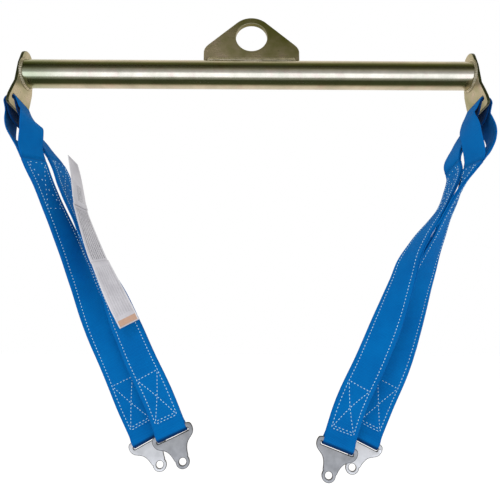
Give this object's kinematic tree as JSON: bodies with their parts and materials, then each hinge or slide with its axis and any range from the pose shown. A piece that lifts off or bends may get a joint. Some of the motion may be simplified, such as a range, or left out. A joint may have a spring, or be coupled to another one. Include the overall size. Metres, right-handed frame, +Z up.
{
  "type": "spreader bar with webbing slings",
  "caption": "Round-tube lifting spreader bar with a welded eye plate, slotted end plates and paired flat webbing slings that end in small stamped steel links.",
  "frame": {"origin": "centre of the hole in the lifting eye plate", "axes": "+X along the bar to the picture's right, +Y to the back, +Z up; the slings hang down and lean inwards as pictured"},
  "size_m": [0.791, 0.1087, 0.7405],
  "materials": {
    "zinc_tube": "yellow zinc plated, semi-gloss",
    "zinc_plate": "yellow zinc plated, satin",
    "weld_bead": "plated weld bead",
    "blue_webbing": "woven synthetic webbing, one ply",
    "blue_sleeve": "woven synthetic webbing, doubled and stitched with white thread",
    "link_steel": "satin zinc",
    "label_cloth": "pale grey printed tape"
  },
  "bodies": {
    "bar": {"bar_tube": "zinc_tube", "eye_plate": "zinc_plate", "eye_weld_front": "weld_bead", "eye_weld_back": "weld_bead", "left_end_plate": "zinc_plate", "left_end_weld": "weld_bead", "right_end_plate": "zinc_plate", "right_end_weld": "weld_bead"},
    "left_outer_sling": {"left_outer_eye_loop": "blue_webbing", "left_outer_upper": "blue_sleeve"},
    "left_outer_tail": {"left_outer_tail": "blue_sleeve", "left_outer_end_loop": "blue_webbing"},
    "left_outer_link": {"left_outer_link": "link_steel"},
    "left_inner_sling": {"left_inner_eye_loop": "blue_webbing", "left_inner_upper": "blue_sleeve", "label_upper": "label_cloth", "label_middle": "label_cloth", "label_lower": "label_cloth"},
    "left_inner_tail": {"left_inner_tail": "blue_sleeve", "left_inner_end_loop": "blue_webbing"},
    "left_inner_link": {"left_inner_link": "link_steel"},
    "right_outer_sling": {"right_outer_eye_loop": "blue_webbing", "right_outer_upper": "blue_sleeve"},
    "right_outer_tail": {"right_outer_tail": "blue_sleeve", "right_outer_end_loop": "blue_webbing"},
    "right_outer_link": {"right_outer_link": "link_steel"},
    "right_inner_sling": {"right_inner_eye_loop": "blue_webbing", "right_inner_upper": "blue_sleeve"},
    "right_inner_tail": {"right_inner_tail": "blue_sleeve", "right_inner_end_loop": "blue_webbing"},
    "right_inner_link": {"right_inner_link": "link_steel"}
  },
  "joints": [
    {"name": "left_outer_swing", "type": "hinge", "parent": "bar", "child": "left_outer_sling", "pos_m": [-0.38948, 0, -0.13236], "axis": [0, 1, 0], "range_deg": [-3, 60]},
    {"name": "left_outer_fold", "type": "hinge", "parent": "left_outer_sling", "child": "left_outer_tail", "pos_m": [-0.21237, 0.00803, -0.52019], "axis": [0.8778, 0.142, 0.4575], "range_deg": [0, 60]},
    {"name": "left_outer_link_turn", "type": "hinge", "parent": "left_outer_tail", "child": "left_outer_link", "pos_m": [-0.14748, 0.008, -0.64636], "axis": [0.8776, 0, 0.4794], "range_deg": [-5, 75]},
    {"name": "left_inner_swing", "type": "hinge", "parent": "bar", "child": "left_inner_sling", "pos_m": [-0.38948, 0, -0.13236], "axis": [0, 1, 0], "range_deg": [-3, 60]},
    {"name": "left_inner_fold", "type": "hinge", "parent": "left_inner_sling", "child": "left_inner_tail", "pos_m": [-0.18452, -0.00923, -0.48803], "axis": [-0.8885, 0.1892, -0.418], "range_deg": [0, 60]},
    {"name": "left_inner_link_turn", "type": "hinge", "parent": "left_inner_tail", "child": "left_inner_link", "pos_m": [-0.11048, -0.008, -0.63736], "axis": [-0.9102, 0, -0.4142], "range_deg": [-5, 75]},
    {"name": "right_outer_swing", "type": "hinge", "parent": "bar", "child": "right_outer_sling", "pos_m": [0.37948, 0, -0.13236], "axis": [0, -1, 0], "range_deg": [-3, 60]},
    {"name": "right_outer_fold", "type": "hinge", "parent": "right_outer_sling", "child": "right_outer_tail", "pos_m": [0.22258, 0.008, -0.52593], "axis": [0.931, 0.0145, -0.3647], "range_deg": [0, 60]},
    {"name": "right_outer_link_turn", "type": "hinge", "parent": "right_outer_tail", "child": "right_outer_link", "pos_m": [0.16248, 0.008, -0.64836], "axis": [0.8985, 0, -0.439], "range_deg": [-5, 75]},
    {"name": "right_inner_swing", "type": "hinge", "parent": "bar", "child": "right_inner_sling", "pos_m": [0.37948, 0, -0.13236], "axis": [0, -1, 0], "range_deg": [-3, 60]},
    {"name": "right_inner_fold", "type": "hinge", "parent": "right_inner_sling", "child": "right_inner_tail", "pos_m": [0.19594, -0.00799, -0.49651], "axis": [-0.8294, 0.3994, 0.3906], "range_deg": [0, 60]},
    {"name": "right_inner_link_turn", "type": "hinge", "parent": "right_inner_tail", "child": "right_inner_link", "pos_m": [0.12248, -0.008, -0.65336], "axis": [-0.937, 0, 0.3494], "range_deg": [-5, 75]}
  ],
  "couplings": [
    {"joint": "left_inner_swing", "follows": "left_outer_swing", "ratio": 1},
    {"joint": "right_inner_swing", "follows": "right_outer_swing", "ratio": 1}
  ]
}
